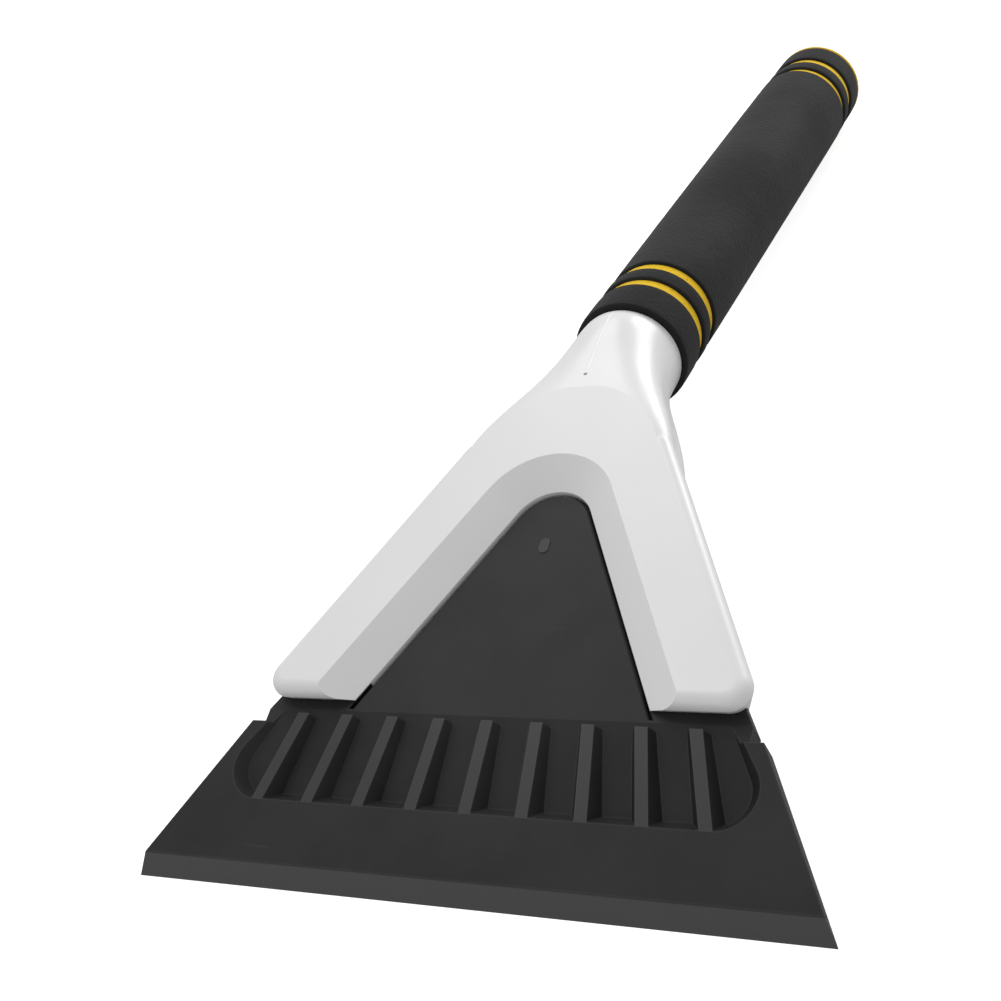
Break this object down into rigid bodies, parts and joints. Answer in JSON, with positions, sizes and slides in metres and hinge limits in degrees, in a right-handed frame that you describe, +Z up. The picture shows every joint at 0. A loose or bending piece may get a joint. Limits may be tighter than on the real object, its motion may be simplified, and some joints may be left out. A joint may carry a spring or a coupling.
{
  "type": "windshield ice scraper",
  "caption": "Hand ice scraper: a wide black toothed plastic blade in a white A-shaped head, with a bent-back neck and a grooved two-colour foam grip.",
  "frame": {"origin": "middle of the blade's cutting edge, where it touches the table", "axes": "+X along the cutting edge, +Y from the blade towards the handle, +Z up as the tool rests on a table with its toothed face up"},
  "size_m": [0.13, 0.2817, 0.0385],
  "materials": {
    "blade_black": "satin moulded plastic",
    "body_white": "satin-gloss moulded plastic",
    "cover_white": "satin moulded plastic",
    "screw_steel": "zinc plated",
    "tube_metal": "drawn",
    "foam_yellow": "closed-cell foam",
    "foam_black": "closed-cell foam",
    "plug_black": "satin moulded plastic"
  },
  "bodies": {
    "root": {"blade": "blade_black", "body": "body_white", "back_cover": "cover_white", "cover_screws": "screw_steel", "tube_screw": "screw_steel", "handle_tube": "tube_metal", "foam_core": "foam_yellow", "foam_collar_front": "foam_black", "foam_ridge_front": "foam_black", "foam_sleeve": "foam_black", "foam_ridge_rear": "foam_black", "foam_collar_rear": "foam_black", "end_plug": "plug_black"}
  },
  "joints": []
}
